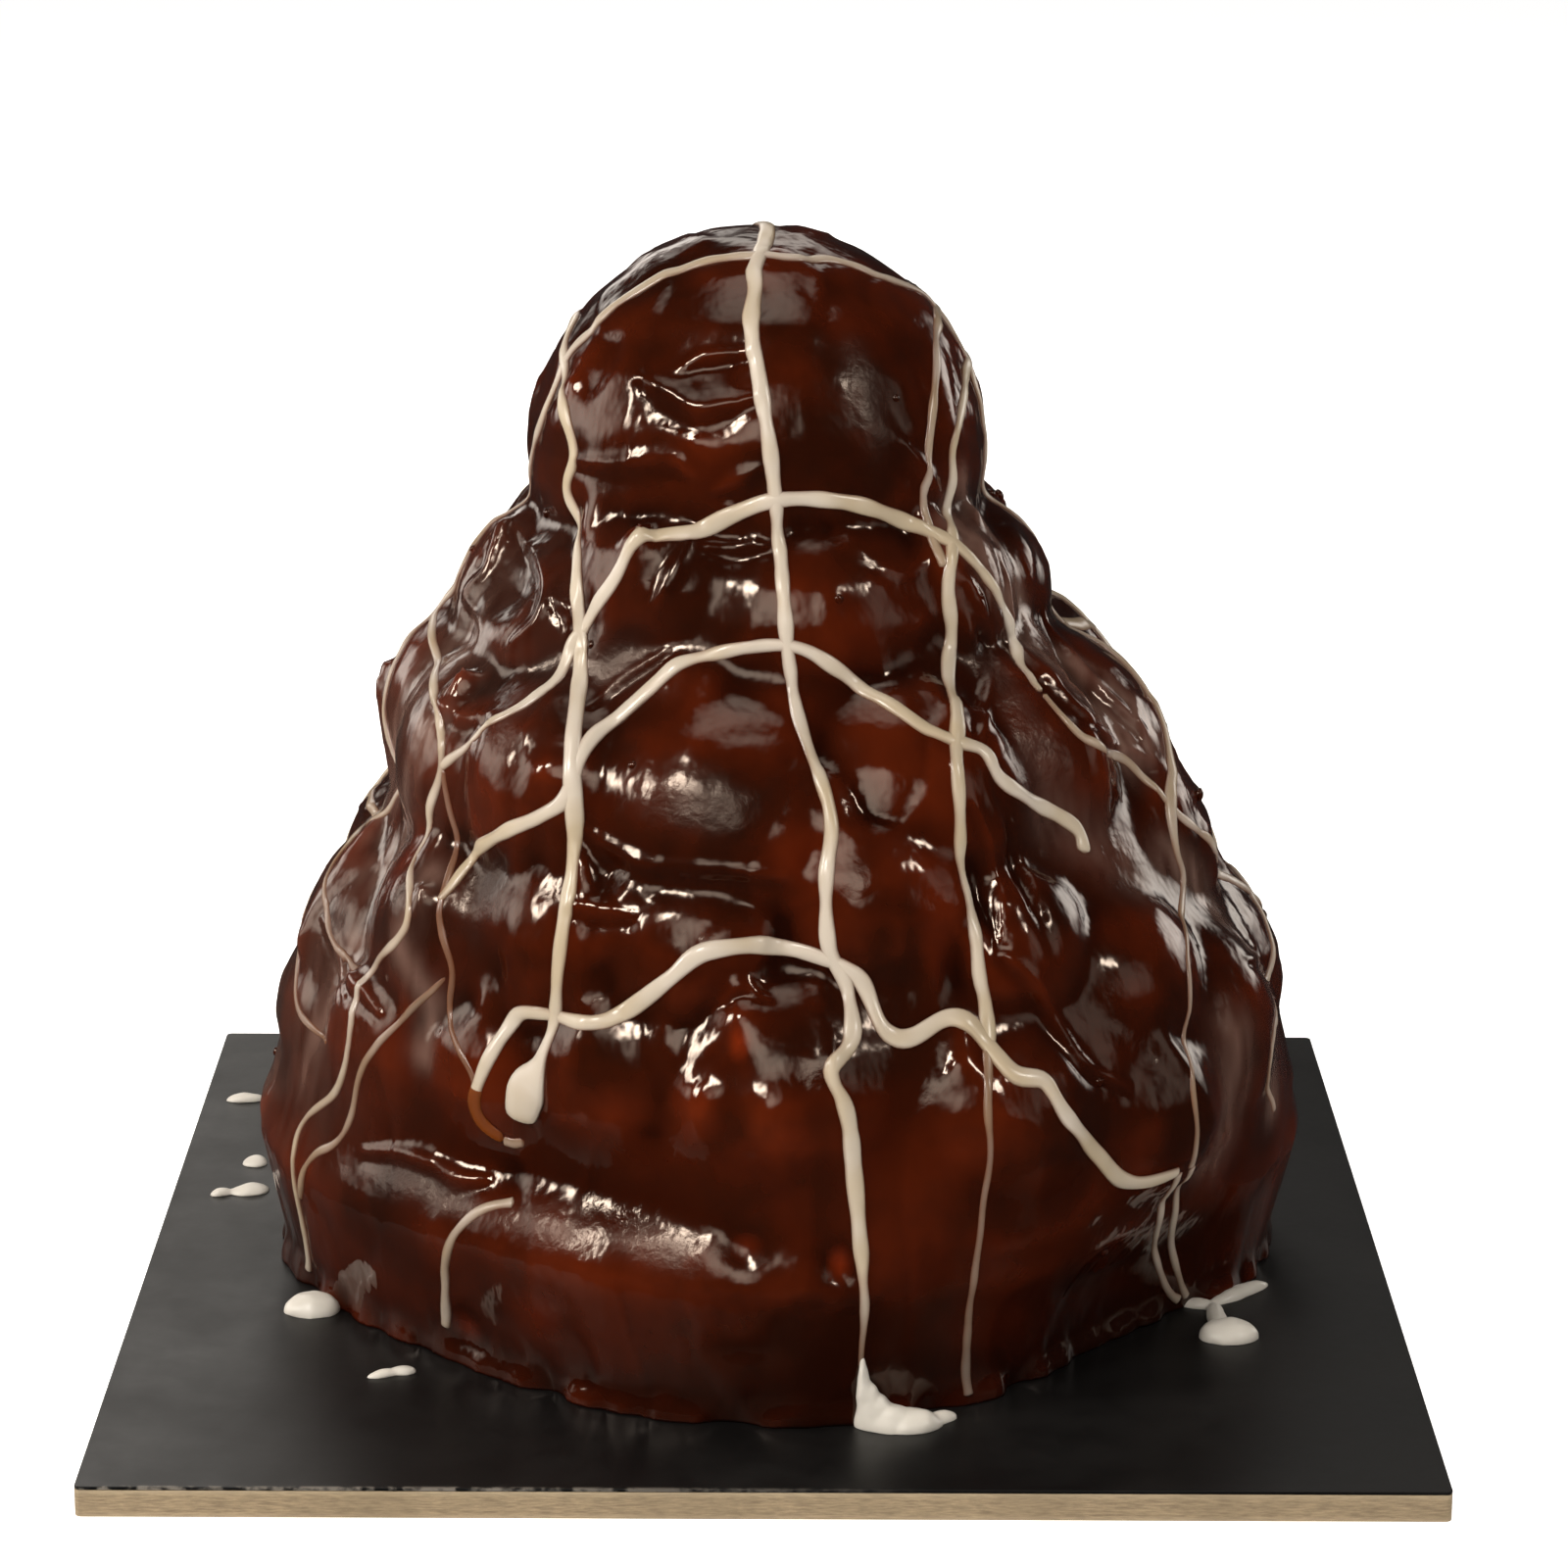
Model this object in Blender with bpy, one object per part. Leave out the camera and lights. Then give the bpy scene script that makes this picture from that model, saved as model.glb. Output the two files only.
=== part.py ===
"""A croquembouche on its square cake board.

A cone of filled choux puffs stands on a low round sponge, and one thick coat of dark chocolate glaze has
run over all of it and set, so that the puffs show only as lumps in a single skin. White chocolate was
trailed over the top, and where it ran off it has set in flat drops on the board.

Metres, +Z up. The origin is the middle of the board's underside, and the front of the cake faces -Y.
"""

import math
import random

import bmesh
import bpy
from mathutils import Matrix, Vector

MM = 0.001
GAP = 0.3 * MM  # kept between solids that lie on each other

# The board: fibreboard with a black facing pressed on its upper side.
BOARD_SIDE = 250 * MM
CORE_THICKNESS = 5.2 * MM
FACING_THICKNESS = 0.5 * MM
BOARD_TOP = CORE_THICKNESS + GAP + FACING_THICKNESS
EDGE_WEAR = 0.4 * MM

# The coated heap, with heights above the board's underside.
HEAP_FOOT = BOARD_TOP + GAP
HEAP_TOP = 216 * MM
CROWN_RADIUS = 45.5 * MM
SPONGE_TOP = 47 * MM
SPONGE_RADIUS = 100 * MM
SPONGE_FOOT_RADIUS = 94 * MM
SPONGE_ROUNDING = 14 * MM
SPONGE_DENT = 8 * MM
SPONGE_DENT_AT = -37
SPONGE_DENT_SPREAD = 20
PUFF_RADIUS = 33 * MM
COAT_CELL = 4 * MM
COAT_EASE = 7
HEAP_DETAIL = 0.33

# The heap's outline over the puffs, as (height, radius). Between the puffs the skin dips by up to DIP,
# and less low down, where the glaze gathered and ran on over the sponge.
OUTLINE = (
    (20 * MM, 96 * MM),
    (32 * MM, 101 * MM),
    (44 * MM, 103.5 * MM),
    (54 * MM, 104 * MM),
    (62 * MM, 103 * MM),
    (72 * MM, 101 * MM),
    (84 * MM, 95.5 * MM),
    (97 * MM, 87.5 * MM),
    (113 * MM, 80.5 * MM),
    (125 * MM, 75.5 * MM),
    (141 * MM, 64 * MM),
    (153 * MM, 56.5 * MM),
    (165 * MM, 50 * MM),
    (173 * MM, 46 * MM),
)
DIP = 7.5 * MM
FULL_DIP_AT = 85 * MM
NO_DIP_AT = 30 * MM

# Above the sponge at the front left the puffs stand back from its edge, which shows there as a ledge.
SET_BACK = 13 * MM
SET_BACK_AT = -124
SET_BACK_SPREAD = 34
SET_BACK_FROM = 105 * MM
FULL_SET_BACK_AT = 65 * MM
WOBBLE_FROM = 60 * MM
FULL_WOBBLE_AT = 20 * MM

# The heap leans: its lower part stands a little to the right, its upper part a little to the left.
LEAN_FROM = 103 * MM
LEAN_TO = 135 * MM
LOW_SHIFT = 2.7 * MM
HIGH_SHIFT = -2.2 * MM

# Each course of puffs: the height of its centres, the puffs that sit unevenly across its front, and how
# many more run evenly round its back. A puff is its azimuth in degrees (the front is -90), its size
# against a plain one, and how many millimetres it is lifted.
COURSES = (
    (
        62 * MM,
        ((-176, 1, -2), (-153, 0.9, 4), (-131, 0.85, 8), (-111, 0.75, 12), (-88, 1.05, 11))
        + ((-62, 0.95, 4), (-40, 0.85, -6), (-20, 0.85, 3), (2, 1.1, 12)),
        6,
    ),
    (
        92 * MM,
        ((-175, 1.05, -4), (-147, 0.9, 3), (-123, 0.8, 6), (-103, 0.75, 8), (-75, 0.85, 14))
        + ((-57, 0.7, 4), (-38, 0.95, -3), (-8, 1, 12)),
        6,
    ),
    (
        123 * MM,
        ((-178, 0.9, 5), (-154, 0.9, 1), (-129, 0.85, 0), (-98, 1.1, 2), (-62, 0.9, 3), (-35, 0.9, 8))
        + ((-6, 0.85, 0),),
        5,
    ),
    (
        154 * MM,
        ((-174, 0.8, -1), (-146, 0.75, -3), (-116, 0.75, 7), (-74, 1, 3), (-36, 0.8, 4), (0, 0.8, 1)),
        4,
    ),
)

# White chocolate that ran off the heap and set on the board. Each piece is made of flat domes that
# run together, given as (x, y, half length, half width, height) in millimetres and a turn in degrees.
SET_WHITE = (
    (
        "pool_front",
        ((24.5, -97.6, 5.5, 3.6, 2.8, -20), (31, -96.8, 6.5, 4.3, 3, 12), (36.5, -94, 3, 2, 1.8, 35)),
    ),
    ("drop_left", ((-89.6, -41.2, 5.6, 4.7, 3.6, 0),)),
    ("drop_right", ((90.5, -53, 6, 4.6, 3.6, 0), (89, -44, 2, 7, 1.8, 0), (94.2, -31.7, 9, 2, 1.9, 42))),
    ("splash_left_high", ((-116, 80, 4.4, 2.2, 1.5, 8),)),
    ("splash_left_mid", ((-109.5, 40.3, 2.8, 2.6, 1.5, 0),)),
    ("splash_left_low", ((-109, 23.5, 4.4, 2.8, 1.6, 10), (-114.5, 22, 2.8, 1.4, 1.2, 20))),
    ("splash_front_left", ((-73, -73.6, 3.4, 1.5, 1.2, 22), (-69.3, -72, 2.8, 1.8, 1.3, 10))),
)
WHITE_CELL = 0.6 * MM
WHITE_DETAIL = 0.16

DARK_GLAZE = (0.060, 0.014, 0.006, 1)
FIBREBOARD = (0.46, 0.31, 0.17, 1)
BLACK_FACING = (0.018, 0.018, 0.018, 1)
WHITE_CHOCOLATE = (0.80, 0.72, 0.58, 1)


def principled(name, colour, roughness, metallic=0.0):
    """A plain Principled material."""
    material = bpy.data.materials.new(name)
    material.use_nodes = True
    shader = material.node_tree.nodes["Principled BSDF"]
    shader.inputs["Base Color"].default_value = colour
    shader.inputs["Roughness"].default_value = roughness
    shader.inputs["Metallic"].default_value = metallic
    material.diffuse_color = colour
    return material


def on_axis(azimuth, distance, height):
    """The point at that azimuth in degrees, distance from the axis and height."""
    turn = math.radians(azimuth)
    return Vector((distance * math.cos(turn), distance * math.sin(turn), height))


def object_from(bm, name, material, smooth=True):
    """A new object that holds the mesh, linked to the scene."""
    bmesh.ops.recalc_face_normals(bm, faces=bm.faces)
    mesh = bpy.data.meshes.new(name)
    bm.to_mesh(mesh)
    bm.free()
    obj = bpy.data.objects.new(name, mesh)
    bpy.context.scene.collection.objects.link(obj)
    if material:
        mesh.materials.append(material)
    if smooth:
        mesh.shade_smooth()
    return obj


def slab(name, side, thickness, low, material):
    """A square plate with slightly worn edges, its underside at height low."""
    bm = bmesh.new()
    bmesh.ops.create_cube(bm, size=1)
    bmesh.ops.scale(bm, vec=(side, side, thickness), verts=bm.verts)
    bmesh.ops.translate(bm, vec=(0, 0, low + thickness / 2), verts=bm.verts)
    upright = [e for e in bm.edges if abs(e.verts[0].co.z - e.verts[1].co.z) > thickness / 2]
    bmesh.ops.bevel(bm, geom=upright, offset=EDGE_WEAR * 3, segments=3, affect="EDGES", profile=0.5)
    return object_from(bm, name, material, smooth=False)


def add_ball(bm, centre, radius, height=1.0):
    """One ball, its height given as a share of its width."""
    size = Matrix.Diagonal((radius, radius, radius * height, 1))
    place = Matrix.Translation(centre) @ size
    bmesh.ops.create_uvsphere(bm, u_segments=32, v_segments=16, radius=1, matrix=place)


def add_turned(bm, outline, out_of_round, steps=96):
    """A solid turned from an outline of (radius, height), closed on the axis at both ends."""
    rings = []
    for radius, height in outline:
        ring = []
        for i in range(steps):
            turn = math.tau * i / steps
            r = radius + out_of_round(turn, height)
            ring.append(bm.verts.new((r * math.cos(turn), r * math.sin(turn), height)))
        rings.append(ring)
    for low, high in zip(rings, rings[1:]):
        for i in range(steps):
            j = (i + 1) % steps
            bm.faces.new((low[i], low[j], high[j], high[i]))
    bm.faces.new(rings[0])
    bm.faces.new(rings[-1])


def skin(height):
    """The heap's radius over the puffs at that height."""
    for (low, wide), (high, narrow) in zip(OUTLINE, OUTLINE[1:]):
        if height <= high:
            break
    return wide + (narrow - wide) * (height - low) / (high - low)


def rise(height, none_at, full_at):
    """How much of a thing there is at that height, from 0 at one height to 1 at another."""
    return min(max((height - none_at) / (full_at - none_at), 0), 1)


def dip(height):
    """How far the skin lies inside the puffs' outline, between the puffs, at that height."""
    return DIP * rise(height, NO_DIP_AT, FULL_DIP_AT)


def set_back(azimuth, height):
    """How far the heap stands back from its outline there."""
    from_middle = (azimuth - SET_BACK_AT + 180) % 360 - 180
    share = rise(height, SET_BACK_FROM, FULL_SET_BACK_AT)
    return SET_BACK * share * math.exp(-((from_middle / SET_BACK_SPREAD) ** 2))


def shift(height):
    """How far the heap's middle lies to the right of the board's middle at that height."""
    return LOW_SHIFT + (HIGH_SHIFT - LOW_SHIFT) * rise(height, LEAN_FROM, LEAN_TO)


def sponge_wobble(turn, height):
    """How far the sponge's side stands out of a true circle: four blunt corners, one side pushed in."""
    from_dent = (math.degrees(turn) - SPONGE_DENT_AT + 180) % 360 - 180
    dent = SPONGE_DENT * math.exp(-((from_dent / SPONGE_DENT_SPREAD) ** 2))
    return 2 * MM * math.cos(2 * turn) + 4 * MM * math.cos(4 * turn) - dent


def filling_wobble(turn, height):
    """How far the heap's middle stands out of a true circle: with the sponge low down, then set back."""
    follows = sponge_wobble(turn, height) * rise(height, WOBBLE_FROM, FULL_WOBBLE_AT)
    return follows - set_back(math.degrees(turn), height)


def add_sponge(bm):
    """The low round base under the puffs, a little wider at its rounded upper edge than at its foot."""
    outline = [(SPONGE_FOOT_RADIUS, HEAP_FOOT - 2 * COAT_CELL), (SPONGE_FOOT_RADIUS, HEAP_FOOT)]
    for i in range(7):
        turn = math.radians(15 * i)
        outline.append(
            (
                SPONGE_RADIUS - SPONGE_ROUNDING * (1 - math.cos(turn)),
                SPONGE_TOP - SPONGE_ROUNDING * (1 - math.sin(turn)),
            )
        )
    add_turned(bm, outline, sponge_wobble)


def add_filling(bm):
    """The middle of the heap, which shows only as the floor of the creases between the puffs."""
    outline = [(radius - dip(height), height) for height, radius in OUTLINE]
    outline.append((CROWN_RADIUS - DIP, HEAP_TOP - CROWN_RADIUS + DIP))
    add_turned(bm, outline, filling_wobble)


def all_puffs():
    """Every puff of every course as (azimuth, height, size), the even ones at the back a little unlike."""
    chance = random.Random(11)
    for height, front, behind in COURSES:
        for azimuth, size, lift in front:
            yield azimuth, height + lift * MM, size
        first, last = front[0][0] + 360, front[-1][0]
        step = (first - last) / (behind + 1)
        for i in range(behind):
            azimuth = last + step * (i + 1) + chance.uniform(-3, 3)
            yield azimuth, height + chance.uniform(-4, 4) * MM, chance.uniform(0.9, 1.05)


def add_puffs(bm):
    """The courses of puffs, bottom to top, and the crown."""
    chance = random.Random(3)
    for azimuth, height, size in all_puffs():
        radius = PUFF_RADIUS * size
        slope = math.atan2(skin(height - 10 * MM) - skin(height + 10 * MM), 20 * MM)
        distance = skin(height) - set_back(azimuth, height) - radius * math.cos(slope)
        centre = on_axis(azimuth, distance, height - radius * math.sin(slope))
        add_ball(bm, centre, radius, chance.uniform(0.8, 1.05))
    add_ball(bm, Vector((0, 0, HEAP_TOP - CROWN_RADIUS)), CROWN_RADIUS)


def cover(obj, cell, ease, detail):
    """Joins the bodies in the object under one smooth skin and cuts it flat where it lies on the board."""
    coat = obj.modifiers.new("coat", "REMESH")
    coat.mode = "VOXEL"
    coat.voxel_size = cell
    coat.use_smooth_shade = True
    flow = obj.modifiers.new("flow", "SMOOTH")
    flow.factor = 0.5
    flow.iterations = ease
    fewer = obj.modifiers.new("fewer_faces", "DECIMATE")
    fewer.ratio = detail
    foot = obj.modifiers.new("flat_foot", "BOOLEAN")
    foot.operation = "DIFFERENCE"
    foot.object = bpy.data.objects["foot_cutter"]


def glazed_heap(material, cell=COAT_CELL, ease=COAT_EASE, detail=HEAP_DETAIL):
    """The puffs and the sponge under one coat: their outer surface, its creases filled by the glaze."""
    bm = bmesh.new()
    add_sponge(bm)
    add_filling(bm)
    add_puffs(bm)
    for vert in bm.verts:
        vert.co.x += shift(vert.co.z)
    heap = object_from(bm, "glazed_heap", material)
    cover(heap, cell, ease, detail)
    return heap


def set_white(name, domes, material):
    """One piece of white chocolate that has set on the board."""
    bm = bmesh.new()
    for x, y, half_length, half_width, height, turn in domes:
        size = Matrix.Diagonal((half_length * MM, half_width * MM, height * MM, 1))
        aim = Matrix.Rotation(math.radians(turn), 4, "Z")
        place = Matrix.Translation((x * MM, y * MM, HEAP_FOOT)) @ aim @ size
        bmesh.ops.create_uvsphere(bm, u_segments=24, v_segments=16, radius=1, matrix=place)
    cover(object_from(bm, name, material), WHITE_CELL, 3, WHITE_DETAIL)


def foot_cutter():
    """What the heap stands on: cutting it away leaves the flat underside."""
    bm = bmesh.new()
    side, depth = BOARD_SIDE, 20 * MM
    bmesh.ops.create_cube(bm, size=1)
    bmesh.ops.scale(bm, vec=(side, side, depth), verts=bm.verts)
    bmesh.ops.translate(bm, vec=(0, 0, HEAP_FOOT - depth / 2), verts=bm.verts)
    cutter = object_from(bm, "foot_cutter", None, smooth=False)
    cutter.hide_render = True
    cutter.display_type = "WIRE"


def clear_scene():
    for obj in list(bpy.data.objects):
        bpy.data.objects.remove(obj)


def main():
    clear_scene()
    slab("board_core", BOARD_SIDE, CORE_THICKNESS, 0, principled("fibreboard", FIBREBOARD, 0.8))
    slab(
        "board_facing",
        BOARD_SIDE,
        FACING_THICKNESS,
        CORE_THICKNESS + GAP,
        principled("black_facing", BLACK_FACING, 0.45),
    )
    foot_cutter()
    glazed_heap(principled("dark_glaze", DARK_GLAZE, 0.12))
    white = principled("white_chocolate", WHITE_CHOCOLATE, 0.3)
    for name, domes in SET_WHITE:
        set_white(name, domes, white)


main()
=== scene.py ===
"""A croquembouche on its cake board: choux puffs under dark chocolate, trailed with white chocolate."""

import math
import random

import bpy
from mathutils import Matrix, Vector, noise
from mathutils.bvhtree import BVHTree
from mathutils.kdtree import KDTree


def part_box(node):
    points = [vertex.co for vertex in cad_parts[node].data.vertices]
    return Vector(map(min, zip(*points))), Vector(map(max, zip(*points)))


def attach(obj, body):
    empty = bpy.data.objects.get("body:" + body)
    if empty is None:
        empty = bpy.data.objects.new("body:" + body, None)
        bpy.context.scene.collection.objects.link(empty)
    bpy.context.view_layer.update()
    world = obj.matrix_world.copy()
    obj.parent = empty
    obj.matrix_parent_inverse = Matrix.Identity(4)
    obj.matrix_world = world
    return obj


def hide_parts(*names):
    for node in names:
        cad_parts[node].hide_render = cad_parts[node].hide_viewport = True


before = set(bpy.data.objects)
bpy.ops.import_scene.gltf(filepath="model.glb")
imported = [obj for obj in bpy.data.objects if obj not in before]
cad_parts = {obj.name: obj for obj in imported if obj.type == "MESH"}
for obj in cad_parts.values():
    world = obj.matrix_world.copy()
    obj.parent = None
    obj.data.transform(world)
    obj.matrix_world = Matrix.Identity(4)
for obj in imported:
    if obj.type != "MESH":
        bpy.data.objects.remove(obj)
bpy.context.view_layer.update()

MM = 0.001

# --------------------
# The board's core: medium-density fibreboard, sawn to a ten-inch square with a fine blade. Its edge
# shows pressed wood fibres, denser and paler near both faces, and its corners are barely eased.
core_low, core_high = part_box("board_core")
facing_low, facing_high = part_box("board_facing")
BOARD_CORNER = 1.2 * MM
SAWN_EDGE = 0.25 * MM


def only(*objects):
    """Selects these objects, or none, and nothing else. The first of them is made active."""
    bpy.ops.object.select_all(action="DESELECT")
    for obj in reversed(objects):
        obj.select_set(True)
        bpy.context.view_layer.objects.active = obj


def apply_all(obj):
    """Applies every modifier of the object, in their order."""
    only(obj)
    for modifier in list(obj.modifiers):
        bpy.ops.object.modifier_apply(modifier=modifier.name)


def linear(code):
    """An sRGB hex colour as the linear colour that a shader takes."""
    parts = [int(code[i : i + 2], 16) / 255 for i in (0, 2, 4)]
    return [c / 12.92 if c <= 0.04045 else ((c + 0.055) / 1.055) ** 2.4 for c in parts] + [1]


def reshape(obj, kind, wanted, operator, **settings):
    """Runs an edit mode operator on the wanted faces or edges of the object."""
    only(obj)
    bpy.ops.object.mode_set(mode="EDIT")
    bpy.ops.mesh.select_mode(type=kind)
    bpy.ops.mesh.select_all(action="DESELECT")
    bpy.ops.object.mode_set(mode="OBJECT")
    for part in obj.data.edges if kind == "EDGE" else obj.data.polygons:
        part.select = wanted(part)
    bpy.ops.object.mode_set(mode="EDIT")
    operator(**settings)
    bpy.ops.object.mode_set(mode="OBJECT")


def set_up(node, settings):
    """Sets a node's properties and inputs, linking an input that is given another node or its socket."""
    for name, value in settings.items():
        if isinstance(value, bpy.types.Node):
            value = next(socket for socket in value.outputs if socket.enabled)
        if isinstance(value, bpy.types.NodeSocket):
            node.id_data.links.new(value, node.inputs[name])
        elif isinstance(name, str) and hasattr(node, name):
            setattr(node, name, value)
        else:
            node.inputs[name].default_value = value


def add_node(tree, kind, settings):
    """A new node with its settings and links."""
    made = tree.nodes.new(kind)
    set_up(made, settings)
    return made


def new_material(name, settings):
    """A new material, its tree, its shader with these constants, and the coordinates of its object."""
    made = bpy.data.materials.new(name)
    made.use_nodes = True
    shader = made.node_tree.nodes["Principled BSDF"]
    set_up(shader, settings)
    place = add_node(made.node_tree, "ShaderNodeTexCoord", {}).outputs["Object"]
    return made, made.node_tree, shader, place


def plate(name, low, high):
    """A square sawn plate between two heights, with its upright corners and its edges eased."""
    only()
    size = (core_high.x - core_low.x, core_high.y - core_low.y, high - low)
    bpy.ops.mesh.primitive_cube_add(size=1, location=(0, 0, (low + high) / 2), scale=size)
    made = bpy.context.object
    made.name = name
    bpy.ops.object.transform_apply(location=True, rotation=True, scale=True)

    def upright(edge):
        one, other = (made.data.vertices[i].co for i in edge.vertices)
        return abs(one.z - other.z) > (high - low) / 2

    reshape(made, "EDGE", upright, bpy.ops.mesh.bevel, offset=BOARD_CORNER, segments=4)
    eased = made.modifiers.new("eased", "BEVEL")
    eased.width = min(SAWN_EDGE, (high - low) / 3)
    eased.segments = 2
    eased.limit_method = "ANGLE"
    apply_all(made)
    bpy.ops.object.shade_smooth_by_angle(angle=math.radians(35))
    flat = made.modifiers.new("flat", "WEIGHTED_NORMAL")
    flat.keep_sharp = True
    apply_all(made)
    return made


core_top = (core_high.z + facing_low.z) / 2
board = plate("fibreboard_core", core_low.z, core_top)
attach(board, "root")
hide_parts("board_core")

# Sawn fibreboard: matt and felted, tan, with short darker fibres and two paler bands where the press
# made it dense.
fibreboard, tree, shader, place = new_material(
    "sawn_fibreboard", {"Roughness": 0.85, "Specular IOR Level": 0.25}
)
# A fibre is about 3 mm long and 0.3 mm thick and lies flat.
lying = add_node(tree, "ShaderNodeMapping", {"Scale": (330, 330, 3000), "Vector": place})
fibres = add_node(tree, "ShaderNodeTexNoise", {"Scale": 1, "Detail": 6, "Roughness": 0.7, "Vector": lying})
patches = add_node(tree, "ShaderNodeTexNoise", {"Scale": 45, "Detail": 3, "Vector": place})
where = add_node(tree, "ShaderNodeSeparateXYZ", {"Vector": place})
from_middle = add_node(
    tree, "ShaderNodeMath", {"operation": "SUBTRACT", 0: where.outputs["Z"], 1: core_top / 2}
)
depth = add_node(tree, "ShaderNodeMath", {"operation": "ABSOLUTE", 0: from_middle})
dense = add_node(
    tree,
    "ShaderNodeMapRange",
    {"From Min": core_top * 0.28, "From Max": core_top * 0.5, "To Max": 0.6, "Value": depth},
)
fibre_share = add_node(tree, "ShaderNodeMapRange", {"From Min": 0.36, "From Max": 0.66, "Value": fibres})
tan = add_node(
    tree, "ShaderNodeMix", {"data_type": "RGBA", 0: fibre_share, 6: linear("72634F"), 7: linear("9A886C")}
)
pressed = add_node(tree, "ShaderNodeMix", {"data_type": "RGBA", 0: dense, 6: tan, 7: linear("A6977D")})
patch_share = add_node(
    tree, "ShaderNodeMapRange", {"From Min": 0.4, "From Max": 0.7, "To Max": 0.4, "Value": patches}
)
stained = add_node(
    tree, "ShaderNodeMix", {"data_type": "RGBA", 0: patch_share, 6: pressed, 7: linear("6F614C")}
)
felt = add_node(tree, "ShaderNodeBump", {"Strength": 0.5, "Distance": 0.2 * MM, "Height": fibres})
set_up(shader, {"Base Color": stained, "Normal": felt})
board.data.materials.append(fibreboard)

# --------------------
# The board's facing: black resin-soaked paper pressed on the core. It has a satin sheen that catches
# the light in a broad patch, fine scuffs, and a pale worn line where the saw chipped its front edge.
facing = plate("black_facing", core_top, facing_high.z)
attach(facing, "root")
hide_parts("board_facing")

# Melamine paper: black, satin, with a faint orange-peel of about 1.5 mm and dusty scuffs.
melamine, tree, shader, place = new_material("black_melamine_paper", {"Specular IOR Level": 0.35})
peel = add_node(tree, "ShaderNodeTexNoise", {"Scale": 650, "Vector": place})
scuffs = add_node(tree, "ShaderNodeTexNoise", {"Scale": 28, "Detail": 8, "Roughness": 0.7, "Vector": place})
scuffed = add_node(tree, "ShaderNodeMapRange", {"From Min": 0.45, "From Max": 0.75, "Value": scuffs})
black = add_node(
    tree, "ShaderNodeMix", {"data_type": "RGBA", 0: scuffed, 6: linear("080808"), 7: linear("131211")}
)
where = add_node(tree, "ShaderNodeSeparateXYZ", {"Vector": place})
near_edge = add_node(
    tree,
    "ShaderNodeMapRange",
    {"From Min": core_low.y + 0.9 * MM, "From Max": core_low.y + 0.3 * MM, "Value": where.outputs["Y"]},
)
worn_side = add_node(
    tree, "ShaderNodeMapRange", {"From Min": 0.03, "From Max": -0.05, "Value": where.outputs["X"]}
)
chips = add_node(tree, "ShaderNodeTexNoise", {"Scale": 420, "Detail": 4, "Vector": place})
chipped = add_node(tree, "ShaderNodeMapRange", {"From Min": 0.42, "From Max": 0.58, "Value": chips})
worn_edge = add_node(tree, "ShaderNodeMath", {"operation": "MULTIPLY", 0: near_edge, 1: worn_side})
worn = add_node(tree, "ShaderNodeMath", {"operation": "MULTIPLY", 0: worn_edge, 1: chipped})
edged = add_node(tree, "ShaderNodeMix", {"data_type": "RGBA", 0: worn, 6: black, 7: linear("68625A")})
dull = add_node(
    tree,
    "ShaderNodeMapRange",
    {"From Min": 0.3, "From Max": 0.7, "To Min": 0.36, "To Max": 0.5, "Value": scuffs},
)
surface = add_node(tree, "ShaderNodeBump", {"Strength": 0.12, "Distance": 0.05 * MM, "Height": peel})
set_up(shader, {"Base Color": edged, "Roughness": dull, "Normal": surface})
facing.data.materials.append(melamine)

# --------------------
# The glazed heap: courses of round choux puffs stacked on a low sponge, all under one pour of dark
# chocolate glaze. The glaze has bridged the gaps, run down in tongues, puddled in the creases and
# left droplets and a wavy foot on the board.
heap_low, heap_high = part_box("glazed_heap")
FOOT = heap_low.z
CROWN_RADIUS = 45.5 * MM
SPONGE_TOP = 47 * MM
SPONGE_RADIUS = 100 * MM
SPONGE_FOOT_RADIUS = 94 * MM
SPONGE_ROUNDING = 14 * MM
SPONGE_DENT = 8 * MM
SPONGE_DENT_AT = -37
SPONGE_DENT_SPREAD = 20
PUFF_RADIUS = 33 * MM
COAT_CELL = 1.5 * MM

# The heap's outline over the puffs, as (height, radius). Between the puffs the skin dips by up to DIP,
# and less low down, where the glaze gathered and ran on over the sponge.
OUTLINE = [
    (height * MM, radius * MM)
    for height, radius in (
        (20, 96), (32, 101), (44, 103.5), (54, 104), (62, 103), (72, 101), (84, 95.5), (97, 87.5),
        (113, 80.5), (125, 75.5), (141, 64), (153, 56.5), (165, 50), (173, 46),
    )
]
DIP = 7.5 * MM
FULL_DIP_AT = 85 * MM
NO_DIP_AT = 30 * MM

# Above the sponge at the front left the puffs stand back from its edge, which shows there as a ledge.
SET_BACK = 13 * MM
SET_BACK_AT = -124
SET_BACK_SPREAD = 34
SET_BACK_FROM = 105 * MM
FULL_SET_BACK_AT = 65 * MM
WOBBLE_FROM = 60 * MM
FULL_WOBBLE_AT = 20 * MM

# The heap leans: its lower part stands a little to the right, its upper part a little to the left.
LEAN_FROM = 103 * MM
LEAN_TO = 135 * MM
LOW_SHIFT = 2.7 * MM
HIGH_SHIFT = -2.2 * MM

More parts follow.
